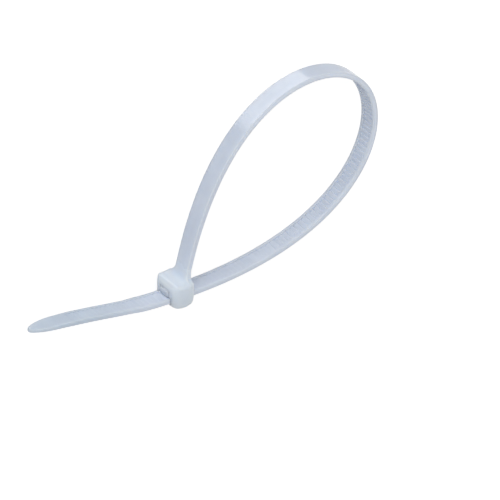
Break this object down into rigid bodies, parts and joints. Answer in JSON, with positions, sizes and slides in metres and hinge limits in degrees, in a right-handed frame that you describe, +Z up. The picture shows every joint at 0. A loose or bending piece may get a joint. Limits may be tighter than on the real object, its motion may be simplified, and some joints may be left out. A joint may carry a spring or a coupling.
{
  "type": "cable tie",
  "caption": "Self-locking cable tie closed into a loop: a toothed strap passed through a ratchet head, with a free tapered tail.",
  "frame": {"origin": "on the surface that the head lies on, below the middle of the head along the slot, on the slot's centre line", "axes": "+X along the slot from the side where the tail leaves to the side where the loop enters, +Y from the slot to the strap's root, +Z up, across the strap's width"},
  "size_m": [0.0929, 0.0492, 0.0084],
  "materials": {
    "nylon": "natural nylon as moulded, translucent bluish white with a soft gloss"
  },
  "bodies": {
    "root": {"cable_tie": "nylon"}
  },
  "joints": []
}
